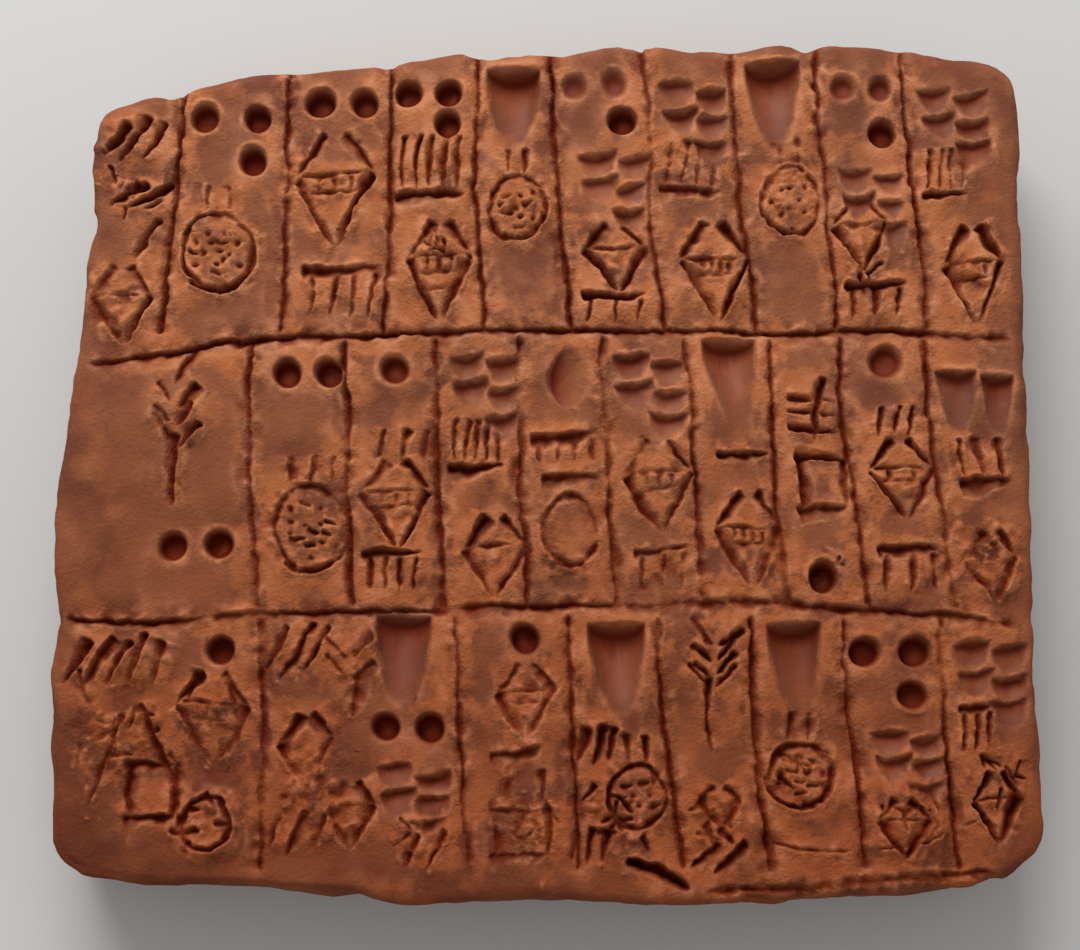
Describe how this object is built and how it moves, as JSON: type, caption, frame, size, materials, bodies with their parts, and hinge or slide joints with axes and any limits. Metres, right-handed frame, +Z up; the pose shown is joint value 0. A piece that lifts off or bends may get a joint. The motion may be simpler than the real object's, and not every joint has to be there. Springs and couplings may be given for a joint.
{
  "type": "clay tablet",
  "caption": "Flat rounded clay tablet with ruled cases of pressed pits, scoops and strokes, lying face up as a written account or its teaching copy.",
  "frame": {"origin": "on the flat underside, below the middle of the tablet's bounding box", "axes": "+X to the right along the rows, +Y to the top of the face, +Z up out of the written face"},
  "size_m": [0.1046, 0.0944, 0.015],
  "materials": {
    "clay": "satin"
  },
  "bodies": {
    "root": {"tablet": "clay"}
  },
  "joints": []
}
